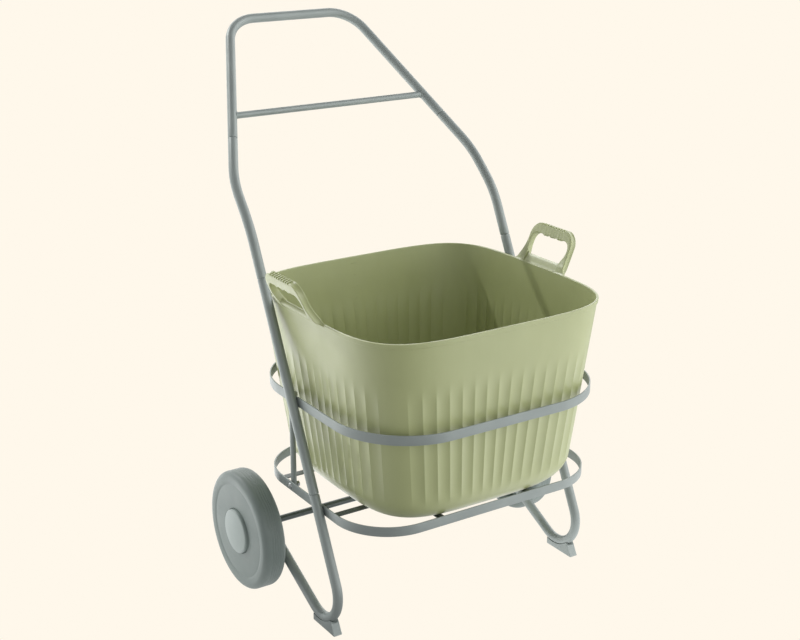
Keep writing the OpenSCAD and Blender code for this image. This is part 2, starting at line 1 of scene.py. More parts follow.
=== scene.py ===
"""A garden cart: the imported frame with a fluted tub, bent tubes, wheels, looks, lights and camera.

Lengths are in millimetres and start on the ground straight below the middle of the axle, with
+X towards the side called right and -Y towards the front. at() turns them into the frame's metres.
"""

import json
import math

import bpy
from mathutils import Matrix, Vector


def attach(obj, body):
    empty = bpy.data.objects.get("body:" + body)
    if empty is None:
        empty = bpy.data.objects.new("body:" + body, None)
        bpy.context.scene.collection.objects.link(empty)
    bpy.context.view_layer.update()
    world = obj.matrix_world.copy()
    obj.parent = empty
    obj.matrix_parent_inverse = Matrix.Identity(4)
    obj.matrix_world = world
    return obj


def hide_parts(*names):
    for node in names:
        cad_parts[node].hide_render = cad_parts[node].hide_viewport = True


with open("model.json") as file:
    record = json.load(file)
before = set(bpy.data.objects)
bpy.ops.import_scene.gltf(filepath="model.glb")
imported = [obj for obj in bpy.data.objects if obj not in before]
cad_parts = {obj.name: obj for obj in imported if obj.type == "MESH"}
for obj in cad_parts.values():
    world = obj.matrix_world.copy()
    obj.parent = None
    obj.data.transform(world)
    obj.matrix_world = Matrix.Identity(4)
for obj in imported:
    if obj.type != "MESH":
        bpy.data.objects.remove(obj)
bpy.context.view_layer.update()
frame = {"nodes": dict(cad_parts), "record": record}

MM = 0.001
AXLE_Y = 16.1  # how far behind the frame's origin the axle lies
SIDES = {"left": -1, "right": 1}


def at(x, y, z):
    return Vector((x, y + AXLE_Y, z)) * MM


def smooth(t):
    t = min(max(t, 0.0), 1.0)
    return t * t * (3 - 2 * t)


def lerp(a, b, t):
    return a + (b - a) * t


# ---------- mesh helpers ----------


class Shape:
    """Vertices in millimetres and faces, collected for one piece."""

    def __init__(self):
        self.verts = []
        self.faces = []

    def add(self, points):
        first = len(self.verts)
        self.verts += [Vector(p) for p in points]
        return list(range(first, first + len(points)))

    def skin(self, rings, loop=False):
        """Joins closed rings of equally many points one to the next, and caps both ends unless they loop."""
        ids = [self.add(r) for r in rings]
        following = ids[1:] + ids[:1] if loop else ids[1:]
        n = len(rings[0])
        for a, b in zip(ids, following):
            for i in range(n):
                j = (i + 1) % n
                self.faces.append((a[i], a[j], b[j], b[i]))
        if not loop:
            self.faces.append(tuple(reversed(ids[0])))
            self.faces.append(tuple(ids[-1]))

    def mirrored(self):
        other = Shape()
        other.verts = [Vector((-v.x, v.y, v.z)) for v in self.verts]
        other.faces = [tuple(reversed(f)) for f in self.faces]
        return other

    def join(self, other):
        first = len(self.verts)
        self.verts += other.verts
        self.faces += [tuple(i + first for i in f) for f in other.faces]
        return self


def piece(name, shape, body, slot, replaced=(), sharp=38):
    """Makes the object, smooth but for edges sharper than an angle, and puts it on its body."""
    mesh = bpy.data.meshes.new(name)
    mesh.from_pydata([at(*v) for v in shape.verts], [], shape.faces)
    mesh.validate()
    mesh.polygons.foreach_set("use_smooth", [True] * len(mesh.polygons))
    mesh.set_sharp_from_angle(angle=math.radians(sharp))
    mesh.update()
    obj = bpy.data.objects.new(name, mesh)
    bpy.context.scene.collection.objects.link(obj)
    mesh.materials.append(materials[slot])
    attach(obj, body)
    if replaced:
        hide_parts(*replaced)


def cross_axes(along):
    side = Vector((1, 0, 0)) if abs(along.x) < 0.9 else Vector((0, 1, 0))
    u = side.cross(along).normalized()
    return u, along.cross(u)


def bent_path(points, radius, step=3.0):
    """Points along straight lines joined by round bends, with a point every few degrees of a bend."""
    points = [Vector(p) for p in points]
    path = [points[0]]
    for before, corner, after in zip(points, points[1:], points[2:]):
        a, b = (corner - before).normalized(), (after - corner).normalized()
        turn = a.angle(b)
        reach = radius * math.tan(turn / 2)
        start = corner - a * reach
        inward = (b - a * a.dot(b)).normalized()
        centre = start + inward * radius
        steps = max(4, round(math.degrees(turn) / step))
        for k in range(steps + 1):
            t = turn * k / steps
            path.append(centre - inward * (radius * math.cos(t)) + a * (radius * math.sin(t)))
    path.append(points[-1])
    return path


def with_long_runs_split(path, longest=40):
    out = [path[0]]
    for p, q in zip(path, path[1:]):
        n = max(1, math.ceil((q - p).length / longest))
        out += [p.lerp(q, k / n) for k in range(1, n + 1)]
    return out


# How far into a rod's rounded end each ring sits.
END_SHARES = [0, 0.08, 0.3, 0.62, 1.0]


def swept_rod(shape, path, r, n=48, round_r=0.0):
    """A round rod along a path, with ends rounded by round_r or left plain."""
    path = with_long_runs_split(path)
    if round_r:
        first, last = (path[1] - path[0]).normalized(), (path[-1] - path[-2]).normalized()
        head = [path[0] + first * (round_r * s) for s in END_SHARES]
        tail = [path[-1] - last * (round_r * s) for s in reversed(END_SHARES)]
        end_radii = [r - round_r * (1 - math.sqrt(1 - (1 - s) ** 2)) for s in END_SHARES]
        centres = head + path[1:-1] + tail
        radii = end_radii + [r] * (len(path) - 2) + end_radii[::-1]
    else:
        centres, radii = path, [r] * len(path)
    tangents = []
    for k in range(len(centres)):
        a, b = centres[max(k - 1, 0)], centres[min(k + 1, len(centres) - 1)]
        tangents.append((b - a).normalized())
    u = cross_axes(tangents[0])[0]
    rings = []
    for k, c in enumerate(centres):
        if k:
            turn = tangents[k - 1].rotation_difference(tangents[k])
            u = turn @ u
        v = tangents[k].cross(u)
        rings.append([c + (u * math.cos(t) + v * math.sin(t)) * radii[k]
                      for t in (2 * math.pi * i / n for i in range(n))])
    shape.skin(rings)


def lathe(shape, profile, n=192, wave=None):
    """Turns a closed (radius, x) outline about the axle line; wave moves points along x."""
    rings = []
    for k in range(n):
        t = 2 * math.pi * k / n
        ring = []
        for i, (r, x) in enumerate(profile):
            shift = wave(i, t) if wave else 0
            ring.append(Vector((x + shift, r * math.cos(t), AXLE_Z + r * math.sin(t))))
        rings.append(ring)
    shape.skin(rings, loop=True)


def arc2(cx, cy, r, start, end, steps):
    """Points of an arc in a plane, with its angles in degrees."""
    return [(cx + r * math.cos(math.radians(lerp(start, end, k / steps))),
             cy + r * math.sin(math.radians(lerp(start, end, k / steps)))) for k in range(steps + 1)]


# ---------- materials ----------


class Nodes:
    """The node tree of a material or a world, with shorthands for adding to it."""

    def __init__(self, owner, coordinates="Object"):
        owner.use_nodes = True
        self.owner = owner
        self.tree = owner.node_tree
        self.coords = self.node("ShaderNodeTexCoord").outputs[coordinates]

    def node(self, kind, inputs=(), **settings):
        n = self.tree.nodes.new(kind)
        for key, value in settings.items():
            setattr(n, key, value)
        for key, value in dict(inputs).items():
            self.put(n.inputs[key], value)
        return n

    def put(self, socket, value):
        if isinstance(value, bpy.types.NodeSocket):
            self.tree.links.new(value, socket)
        else:
            socket.default_value = value

    def noise(self, scale, detail=3, roughness=0.5, stretch=None, seed=0.0):
        vector = self.coords
        if stretch or seed:
            vector = self.node("ShaderNodeMapping", {"Vector": vector, "Location": (seed, seed, seed),
                                                     "Scale": stretch or (1, 1, 1)}).outputs[0]
        return self.node("ShaderNodeTexNoise", {"Vector": vector, "Scale": scale, "Detail": detail,
                                                "Roughness": roughness}).outputs["Fac"]

    def ramp(self, factor, stops):
        n = self.node("ShaderNodeValToRGB", {"Fac": factor})
        elements = n.color_ramp.elements
        while len(elements) < len(stops):
            elements.new(0.5)
        for e, (position, colour) in zip(elements, stops):
            e.position = position
            e.color = (*colour, 1) if hasattr(colour, "__len__") else (colour, colour, colour, 1)
        return n.outputs["Color"]

    def mix(self, factor, a, b, blend="MIX"):
        """Mixes two colours; the node's colour sockets are inputs 6 and 7 and output 2."""
        n = self.node("ShaderNodeMix", data_type="RGBA", blend_type=blend)
        self.put(n.inputs[0], factor)
        self.put(n.inputs[6], a if isinstance(a, bpy.types.NodeSocket) else (*a, 1))
        self.put(n.inputs[7], b if isinstance(b, bpy.types.NodeSocket) else (*b, 1))
        return n.outputs[2]

    def math(self, operation, a, b=0.0):
        n = self.node("ShaderNodeMath", operation=operation)
        self.put(n.inputs[0], a)
        self.put(n.inputs[1], b)
        return n.outputs[0]

    def bump(self, layers):
        """Chains one bump per layer, each a height socket and a depth in metres."""
        normal = None
        for height, depth in layers:
            n = self.node("ShaderNodeBump", {"Height": height, "Distance": depth, "Strength": 1.0})
            if normal:
                self.put(n.inputs["Normal"], normal)
            normal = n.outputs["Normal"]
        self.put(self.tree.nodes["Principled BSDF"].inputs["Normal"], normal)

    def finish(self, colour, roughness, **fixed):
        inputs = self.tree.nodes["Principled BSDF"].inputs
        self.put(inputs["Base Color"], colour)
        self.put(inputs["Roughness"], roughness)
        for key, value in fixed.items():
            inputs[key.replace("_", " ")].default_value = value
        return self.owner


def powder_coat(name, dark, light, metallic, rough):
    """Sprayed paint: fine orange peel, faint cloudy colour, and slightly darker rubbed spots."""
    n = Nodes(bpy.data.materials.new(name))
    cloud = n.noise(14, 3)
    base = n.mix(n.ramp(cloud, [(0.3, 0.0), (0.7, 1.0)]), dark, light)
    speck = n.noise(1400, 2, 0.6)
    base = n.mix(n.ramp(speck, [(0.42, 0.0), (0.62, 0.25)]), base, [c * 1.04 for c in light])
    rub = n.ramp(n.noise(38, 5, 0.7, seed=3.1), [(0.6, 0.0), (0.78, 0.12)])
    base = n.mix(rub, base, [c * 0.9 for c in dark])
    roughness = n.ramp(n.noise(60, 4), [(0.25, rough - 0.05), (0.75, rough + 0.07)])
    n.bump([(n.noise(900, 2), 0.000006), (n.noise(160, 2), 0.000012)])
    return n.finish(base, roughness, Metallic=metallic, IOR=1.5)


def zinc():
    n = Nodes(bpy.data.materials.new("zinc_steel"))
    spangle = n.node("ShaderNodeTexVoronoi", {"Vector": n.coords, "Scale": 420.0}).outputs["Color"]
    grey = n.ramp(spangle, [(0.2, (0.36, 0.38, 0.38)), (0.8, (0.5, 0.52, 0.51))])
    stain = n.ramp(n.noise(90, 4, 0.6), [(0.45, 0.0), (0.7, 0.6)])
    grey = n.mix(stain, grey, (0.27, 0.28, 0.26))
    roughness = n.ramp(n.noise(220, 3), [(0.3, 0.3), (0.7, 0.48)])
    n.bump([(n.noise(700, 3), 0.00005)])
    return n.finish(grey, roughness, Metallic=0.9)


def moulded(name, dark, light, rough, grain, grain_depth, specular=0.5):
    """Moulded plastic: slight pigment clouds, flow streaks, fine grain and handling marks."""
    n = Nodes(bpy.data.materials.new(name))
    cloud = n.ramp(n.noise(7, 3, seed=1.7), [(0.3, 0.0), (0.7, 1.0)])
    base = n.mix(cloud, dark, light)
    flow = n.ramp(n.noise(16, 4, 0.6, stretch=(1.6, 1.6, 0.35), seed=5.2), [(0.35, 0.0), (0.75, 0.3)])
    base = n.mix(flow, base, [c * 1.1 for c in light])
    dust = n.ramp(n.noise(520, 3, 0.7), [(0.6, 0.0), (0.78, 0.22)])
    base = n.mix(dust, base, [lerp(c, 0.7, 0.35) for c in light])
    scuff = n.noise(150, 3, 0.65, stretch=(1, 0.12, 1), seed=9.4)
    roughness = n.math("ADD", n.ramp(n.noise(22, 4), [(0.3, rough - 0.05), (0.7, rough + 0.05)]),
                       n.ramp(scuff, [(0.6, 0.0), (0.75, 0.08)]))
    n.bump([(n.noise(grain, 2, 0.6), grain_depth), (n.noise(45, 2), grain_depth * 2)])
    return n.finish(base, roughness, Specular_IOR_Level=specular)


materials = {
    "frame_paint": powder_coat("frame_paint", (0.245, 0.28, 0.27), (0.29, 0.325, 0.312), 0.2, 0.42),
    # Painted shade: the same paint as the frame made darker, for the axle and the other parts under the tub
    # that take this slot.
    "axle_paint": powder_coat("axle_paint", (0.075, 0.09, 0.085), (0.10, 0.12, 0.115), 0.2, 0.34),
    "zinc_steel": zinc(),
    "wheel_plastic": moulded("wheel_plastic", (0.15, 0.185, 0.172), (0.19, 0.228, 0.212), 0.5, 1100, 0.00009),
    "cap_plastic": moulded("cap_plastic", (0.24, 0.29, 0.27), (0.29, 0.34, 0.32), 0.42, 1300, 0.00006),
    "nylon": moulded("nylon", (0.5, 0.5, 0.46), (0.6, 0.6, 0.56), 0.45, 1200, 0.00004),
    "tub_plastic": moulded("tub_plastic", (0.34, 0.372, 0.172), (0.37, 0.402, 0.19), 0.38, 1500, 0.00005,
                           specular=0.85),
}
for row in frame["record"]["subparts"]:
    node = frame["nodes"][row["node"]]
    node.data.materials.clear()
    node.data.materials.append(materials[row["material_slot"]])

# ---------- frame tubes ----------

TUBE_R = 9.5
TUBE_X = 285
SEAM_ROUND = 1.3
SEAM_GAP = 1.0
SPIGOT_R = 7.96
SPIGOT_IN = 24
SPIGOT_OUT = 3
# Joints and corners of the right side's tube line, up to the handle's top, and then of its foot.
LOW = Vector((TUBE_X, -195.328, 261))
MID = Vector((TUBE_X, -14.0456, 636))
KNEE = Vector((TUBE_X, 28.495, 724))
SHOULDER = Vector((279.5, 101.167, 799.167))
JOINT = Vector((245, 168.5, 866))
TOP = Vector((141.5, 370.5, 1066.5))
FOOT_CORNER = Vector((TUBE_X, -349.405, -57.72))
FOOT_CENTRE = Vector((TUBE_X, -215.687, 78.729))
HANDLE_BEND_R = 76
MIDDLE_BEND_R = 220
FOOT_BEND_R = 61
AXLE_Z = 120
SLEEVE_R = 11
LEG_TRIM = 9
AXLE_POINT = Vector((TUBE_X, 0, AXLE_Z))
UPRIGHT_DIR = (MID - LOW).normalized()
HANDLE_DIR = (TOP - JOINT).normalized()
REAR_LEG_DIR = (AXLE_POINT - FOOT_CORNER).normalized()


def flip(p):
    return Vector((-p.x, p.y, p.z))


def spigot(shape, joint, along):
    """The narrowed end that joins two tubes and shows in the seam between them."""
    swept_rod(shape, [joint - along * SPIGOT_IN, joint + along * SPIGOT_OUT], SPIGOT_R, n=40)


def weld_bead(shape, centre, bar_dir, bar_r, tube_dir, tube_r, bead_r=1.5):
    """A rippled bead where a round bar ends on a round tube that crosses its line."""
    u, v = cross_axes(bar_dir)
    across_b = bar_dir - tube_dir * bar_dir.dot(tube_dir)
    n = 72
    ripples = 24
    ring_points = []
    for i in range(n):
        t = 2 * math.pi * i / n
        m = (u * math.cos(t) + v * math.sin(t)) * bar_r
        across_m = m - tube_dir * m.dot(tube_dir)
        a, b, c = across_b.length_squared, across_m.dot(across_b), across_m.length_squared - tube_r ** 2
        reach = (-b + math.sqrt(max(b * b - a * c, 0))) / a
        ring_points.append(centre + m + bar_dir * reach)
    rings = []
    for i, p in enumerate(ring_points):
        along = (ring_points[(i + 1) % n] - ring_points[i - 1]).normalized()
        out = (p - centre - bar_dir * (p - centre).dot(bar_dir)).normalized()
        out = (out - along * out.dot(along)).normalized()
        side = along.cross(out)
        r = bead_r * (1 + 0.12 * math.sin(2 * math.pi * i * ripples / n))
        rings.append([p + (out * math.cos(s) + side * math.sin(s)) * r
                      for s in (2 * math.pi * k / 10 for k in range(10))])
    shape.skin(rings, loop=True)


handle = Shape()
swept_rod(handle, bent_path([flip(JOINT), flip(TOP), TOP, JOINT], HANDLE_BEND_R), TUBE_R, round_r=SEAM_ROUND)
spigot(handle, JOINT, HANDLE_DIR)
spigot(handle, flip(JOINT), flip(HANDLE_DIR))
piece("handle_bar_tube", handle, "frame", "frame_paint", ["handle_bar"])

CROSS_R = 6.5
CROSS_Z = 903
cross_end = JOINT + HANDLE_DIR * ((CROSS_Z - JOINT.z) / HANDLE_DIR.z)
crossbar = Shape()
swept_rod(crossbar, [flip(cross_end), cross_end], CROSS_R, n=40)
weld_bead(crossbar, cross_end, Vector((-1, 0, 0)), CROSS_R, HANDLE_DIR, TUBE_R)
weld_bead(crossbar, flip(cross_end), Vector((1, 0, 0)), CROSS_R, flip(HANDLE_DIR), TUBE_R)
piece("handle_crossbar_rod", crossbar, "frame", "frame_paint", ["handle_crossbar"])

for side, sx in SIDES.items():
    def on_side(p):
        return p if sx > 0 else flip(p)

    up, handle_dir, leg_dir = on_side(UPRIGHT_DIR), on_side(HANDLE_DIR), on_side(REAR_LEG_DIR)
    low, mid, joint = on_side(LOW), on_side(MID), on_side(JOINT)
    middle = Shape()
    swept_rod(middle, bent_path([mid, on_side(KNEE), on_side(SHOULDER), joint - handle_dir * SEAM_GAP],
                                MIDDLE_BEND_R), TUBE_R, round_r=SEAM_ROUND)
    spigot(middle, mid, up)
    piece(f"middle_tube_{side}_bent", middle, "frame", "frame_paint", [f"middle_tube_{side}"])
    straight = Shape()
    swept_rod(straight, [low, mid - up * SEAM_GAP], TUBE_R, round_r=SEAM_ROUND)
    spigot(straight, low, up)
    piece(f"upright_{side}_tube", straight, "frame", "frame_paint", [f"upright_{side}"])
    loop = Shape()
    rear_end = on_side(AXLE_POINT) - leg_dir * LEG_TRIM
    swept_rod(loop, bent_path([low - up * SEAM_GAP, on_side(FOOT_CORNER), rear_end], FOOT_BEND_R),
              TUBE_R, round_r=SEAM_ROUND)
    weld_bead(loop, on_side(AXLE_POINT), -leg_dir, TUBE_R, Vector((1, 0, 0)), SLEEVE_R, bead_r=1.6)
    piece(f"foot_loop_{side}_tube", loop, "frame", "frame_paint", [f"foot_loop_{side}"])

# ---------- feet ----------

FOOT_TOE_Y = -275.4
FOOT_LIP_Y = -260.6
FOOT_LIP_Z = 30.0
FOOT_REAR_Y = -197
FOOT_GAP = 0.9
# Across a foot: distance from its middle, and how far its outline is drawn in there.
FOOT_EDGE = [(-9.0, 1.1), (-8.7, 0.35), (-7.9, 0.0)]
FOOT_FLAT = [(x, 0.0) for x in (-6.5, -4.5, -2, 2, 4.5, 6.5)]


def foot_shape(sx):
    """A block with a sloping front and a hollow top that leaves a thin gap under the tube."""
    shape = Shape()
    rings = []
    hollow_half = -FOOT_EDGE[-1][0]
    for x, inset in FOOT_EDGE + FOOT_FLAT + [(-x, i) for x, i in FOOT_EDGE[::-1]]:
        top_r = FOOT_BEND_R + math.sqrt(TUBE_R ** 2 - min(abs(x), hollow_half) ** 2) + FOOT_GAP

        def top_z(y):
            return FOOT_CENTRE.z - math.sqrt(top_r ** 2 - (y - FOOT_CENTRE.y) ** 2)

        ring = [(FOOT_REAR_Y - inset, top_z(FOOT_REAR_Y) - inset), (FOOT_REAR_Y - inset, inset)]
        ring += [(FOOT_TOE_Y + 0.8 + inset, inset), (FOOT_TOE_Y + inset, 0.5 + inset)]
        ring += [(FOOT_TOE_Y + inset + z * 0.5, z) for z in (6, 14, 22)]
        lip_z = min(FOOT_LIP_Z, top_z(FOOT_LIP_Y + 1.0))
        ring += [(FOOT_LIP_Y + inset, lip_z - 0.8 - inset), (FOOT_LIP_Y + 1.0 + inset, lip_z - inset)]
        hollow = [lerp(FOOT_LIP_Y + 2.5, FOOT_REAR_Y - 2, k / 20) for k in range(21)]
        ring += [(y, top_z(y) - inset * 0.5) for y in hollow]
        rings.append([Vector((x + TUBE_X * sx, y, z)) for y, z in ring])
    shape.skin(rings)
    return shape


for side, sx in SIDES.items():
    piece(f"foot_{side}_block", foot_shape(sx), "frame", "frame_paint", [f"foot_{side}"])

# ---------- hoops ----------

HOOP_HALF_X = TUBE_X - TUBE_R
BAR_T = 3.0
BAR_H = 19.0
BAR_EDGE = 0.8


def hoop_piece(name, half_y, r, ahead, z, node):
    """Flat bar with rounded edges, bent to a round-cornered rectangle."""
    side, front = HOOP_HALF_X - r, half_y - r
    corners = [(side, front), (-side, front), (-side, -front), (side, -front)]
    # Where each section of the bar turns about, and the way it faces there.
    line = []
    for quarter, ((cx, cy), (next_x, next_y)) in enumerate(zip(corners, corners[1:] + corners[:1])):
        for k in range(41):
            a = math.radians(90 * quarter + 90 * k / 40)
            facing = Vector((math.cos(a), math.sin(a), 0))
            line.append((Vector((cx, cy, 0)), facing))
        for k in range(1, 8):
            line.append((Vector((lerp(cx, next_x, k / 8), lerp(cy, next_y, k / 8), 0)), facing))
    outer, inner = r - BAR_EDGE, r - BAR_T + BAR_EDGE
    top, bottom = z + BAR_H / 2 - BAR_EDGE, z - BAR_H / 2 + BAR_EDGE
    section = []
    for s, sz, start in ((outer, top, 0), (inner, top, 90), (inner, bottom, 180), (outer, bottom, 270)):
        section += arc2(s, sz, BAR_EDGE, start, start + 90, 4)
    shape = Shape()
    shape.skin([[Vector((c.x + d.x * s, c.y + d.y * s - ahead, sz)) for s, sz in section]
                for c, d in line], loop=True)
    piece(name, shape, "frame", "frame_paint", [node])


hoop_piece("upper_hoop_bar", 258, 155, 154, 420, "upper_hoop")
hoop_piece("lower_hoop_bar", 219, 114, 152, 232.5, "lower_hoop")

# ---------- wheels ----------

WHEEL_IN = 304.3  # where its inner side lies along X; the numbers below start there
WHEEL_R = AXLE_Z
WHEEL_W = 49
TYRE_ROUND = 12
TREAD_GROOVES = (16.5, 20.9, 25.7, 31.5)
GROOVE_WAVE = 0.8
WAVES_ROUND = 14
WEB_OUT = 47
RIBS = 8
RIB_START = 21
RIB_END = 106.5
RIB_HALF = 2
RIB_FLARE = 1.6


def wheel_profile():
    """The wheel's section as (radius, x) from its inner side, and which points wave along the tread."""
    points = [(9.5, 0.4), (9.9, 0), (21, 0), (22, 1), (22, 36.5), (22.8, 38.3), (24.5, 39)]
    points += [(60, 39), (103, 39), (105.2, 38.1), (106, 36), (106, 1.2), (106.4, 0.3), (107.4, 0)]
    points += arc2(WHEEL_R - TYRE_ROUND, TYRE_ROUND, TYRE_ROUND, -90, 0, 14)
    wavy = set()
    for groove in TREAD_GROOVES:
        for dx, drop in ((-1.3, 0), (-0.7, 0.18), (0, 0.4), (0.7, 0.18), (1.3, 0)):
            wavy.add(len(points))
            points.append((WHEEL_R - drop, groove + dx))
    points += arc2(WHEEL_R - TYRE_ROUND, WHEEL_W - TYRE_ROUND, TYRE_ROUND, 0, 90, 14)
    points += [(104, 48.8), (100, 48.3), (97.5, 47.8), (96, 47.1), (95, 46.7), (94, 46.6), (92.5, 46.75)]
    points += [(90, 46.9), (80, WEB_OUT), (60, WEB_OUT), (46.6, WEB_OUT), (46, 46.5), (46, 43), (42.4, 43)]
    points += [(42.4, 46.5), (41.8, WEB_OUT), (20, WEB_OUT), (9.9, WEB_OUT), (9.5, 46.6)]
    return points, wavy


def wheel_shape(sx):
    profile, wavy = wheel_profile()

    def wave(i, t):
        return GROOVE_WAVE * math.sin(WAVES_ROUND * t + i * 0.05) if i in wavy else 0

    shape = Shape()
    lathe(shape, [(r, x + WHEEL_IN) for r, x in profile], n=480, wave=wave)
    for i in range(RIBS):
        a = 2 * math.pi * (i + 0.5) / RIBS
        out, across = Vector((0, math.cos(a), math.sin(a))), Vector((0, -math.sin(a), math.cos(a)))
        centre = Vector((WHEEL_IN, 0, AXLE_Z))
        rings = []
        for r in (RIB_START, 24, 45, 75, 103, RIB_END):
            flare = RIB_FLARE * max(0, 1 - (r - RIB_START) / 4) + RIB_FLARE * max(0, 1 - (RIB_END - r) / 4)
            w = RIB_HALF + flare
            section = [(-w, 40), (-w, 9), (-w + 0.8, 8), (w - 0.8, 8), (w, 9), (w, 40)]
            rings.append([centre + out * r + across * s + Vector((x, 0, 0)) for s, x in section])
        shape.skin(rings)
    return shape if sx > 0 else shape.mirrored()


CAP_R = 45
CAP_RISE = 9.0
CAP_SKIRT = 6.0
CAP_WALL = 2


def cap_shape(sx):
    """A button with a slightly domed face, a rounded edge and a skirt in the wheel's groove."""
    bulge = CAP_RISE - CAP_SKIRT
    ball = (CAP_R ** 2 + bulge ** 2) / (2 * bulge)

    def dome(r):
        return CAP_RISE - ball + math.sqrt(ball ** 2 - r * r)

    outer = [(0.01, CAP_RISE)] + [(r, dome(r)) for r in (4, 8, 12, 16, 20, 24, 28, 32, 36, 39, 41, 42)]
    outer += [(r, dome(r) - drop) for r, drop in ((42.9, 0.15), (43.8, 0.6), (44.5, 1.3))]
    outer += [(44.9, CAP_SKIRT - 2.4), (CAP_R, CAP_SKIRT - 3.4), (CAP_R, -2.6), (44.6, -3)]
    inner = [(43.4, -3), (CAP_R - CAP_WALL, -2.6), (CAP_R - CAP_WALL, CAP_SKIRT - 2.5)]
    inner += [(r, dome(r) - CAP_WALL) for r in (40.5, 34, 26, 18, 10, 4)] + [(0.01, CAP_RISE - CAP_WALL)]
    shape = Shape()
    lathe(shape, [(r, x + WHEEL_IN + WEB_OUT) for r, x in outer + inner])
    return shape if sx > 0 else shape.mirrored()


for side, sx in SIDES.items():
    body = f"{side}_wheel"
    piece(f"wheel_{side}_moulding", wheel_shape(sx), body, "wheel_plastic", [f"wheel_{side}"], sharp=32)
    piece(f"hub_cap_{side}_dome", cap_shape(sx), body, "cap_plastic", [f"hub_cap_{side}"], sharp=32)

# ---------- tub ----------

TUB_Z = 227
TUB_H = 375
RIM_Z = TUB_Z + TUB_H
WALL = 3.5
LIP = 1.6
RIM_R_OUT = 1.8
RIM_R_IN = 1.5
EDGE_R = 56
FLOOR_RISE = 2.5
BOTTOM_AHEAD = 153
# The outline at the bottom and at the rim: half width, half length, roundness, distance in front.
BOTTOM = (229.4, 224.2, 4.1, BOTTOM_AHEAD)
RIM = (273.4, 265.6, 4.5, 145)
FLUTES_PER_FACE = 15
FLUTE_SHARE = 0.0147
FLUTE_DEPTH = 2.2
FLUTE_STEPS = 10
FLUTE_TOP = 522
FLUTE_TOP_FADE = 50
FLUTE_BOTTOM = 262
FLUTE_BOTTOM_FADE = 42
EVEN_RISE = 0.72  # how far up the tub the flutes are evenly spaced
CORNER_STEPS = 14
RING_STEP = 9


def outline_point(t, rise, inset, push=0.0):
    """A point on the tub's rounded-square outline; t = 0 is the front's middle and grows towards +X."""
    half_x, half_y, power, ahead = (lerp(low, high, rise) for low, high in zip(BOTTOM, RIM))
    a = half_x - inset
    b = half_y - inset
    s, c = math.sin(t), math.cos(t)
    x = a * math.copysign(abs(s) ** (2 / power), s)
    y = -b * math.copysign(abs(c) ** (2 / power), c)
    nx = math.copysign(abs(x / a) ** (power - 1), x) / a
    ny = math.copysign(abs(y / b) ** (power - 1), y) / b
    length = math.hypot(nx, ny)
    return (x + nx / length * push, y + ny / length * push - ahead)


def fluted_columns():
    """(t, flute phase or None) of every column of the wall, from even shares of its length."""
    fine = 40000
    walk, last = [0.0], outline_point(0, EVEN_RISE, 0)
    for i in range(1, fine + 1):
        p = outline_point(2 * math.pi * i / fine, EVEN_RISE, 0)
        walk.append(walk[-1] + math.hypot(p[0] - last[0], p[1] - last[1]))
        last = p
    shares = []
    half = FLUTES_PER_FACE * FLUTE_SHARE / 2
    for face in range(4):
        middle = face / 4
        for f in range(FLUTES_PER_FACE):
            for k in range(FLUTE_STEPS):
                u = (f + k / FLUTE_STEPS) / FLUTES_PER_FACE
                shares.append((middle - half + 2 * half * u, k / FLUTE_STEPS))
        gap = 0.25 - 2 * half
        for k in range(CORNER_STEPS):
            shares.append((middle + half + gap * k / CORNER_STEPS, None))
    columns, i = [], 0
    for share, phase in sorted(((s % 1, p) for s, p in shares), key=lambda c: c[0]):
        while walk[i + 1] < share * walk[-1]:
            i += 1
        part = (share * walk[-1] - walk[i]) / (walk[i + 1] - walk[i])
        columns.append((2 * math.pi * (i + part) / fine, phase))
    return columns


COLUMNS = fluted_columns()


def flute_level(z):
    """How deep the flutes are at a height, from 0 to 1: nothing near the rim and the bottom edge."""
    return smooth((FLUTE_TOP - z) / FLUTE_TOP_FADE) * smooth((z - FLUTE_BOTTOM) / FLUTE_BOTTOM_FADE)


def wall_ring(z, inset, push=0.0):
    """A ring of the wall, drawn in by inset in the outline's terms and then pushed out square to it."""
    rise = (z - TUB_Z) / TUB_H
    depth = FLUTE_DEPTH * flute_level(z)
    ring = []
    for t, phase in COLUMNS:
        scoop = 0.0 if phase is None else 4 * phase * (1 - phase)
        x, y = outline_point(t, rise, inset, push - depth * scoop)
        ring.append(Vector((x, y, z)))
    return ring


FLOOR_SHARES = (0.04, 0.3, 0.6, 0.72, 0.8, 0.9)


def floor_ring(z, share, edge):
    """A ring of the floor: its edge scaled down, on a floor that is raised in the middle."""
    middle = Vector((0, -BOTTOM_AHEAD, z + FLOOR_RISE * smooth((0.9 - share) / 0.25)))
    return [middle + Vector((p.x * share, (p.y + BOTTOM_AHEAD) * share, 0)) for p in edge]


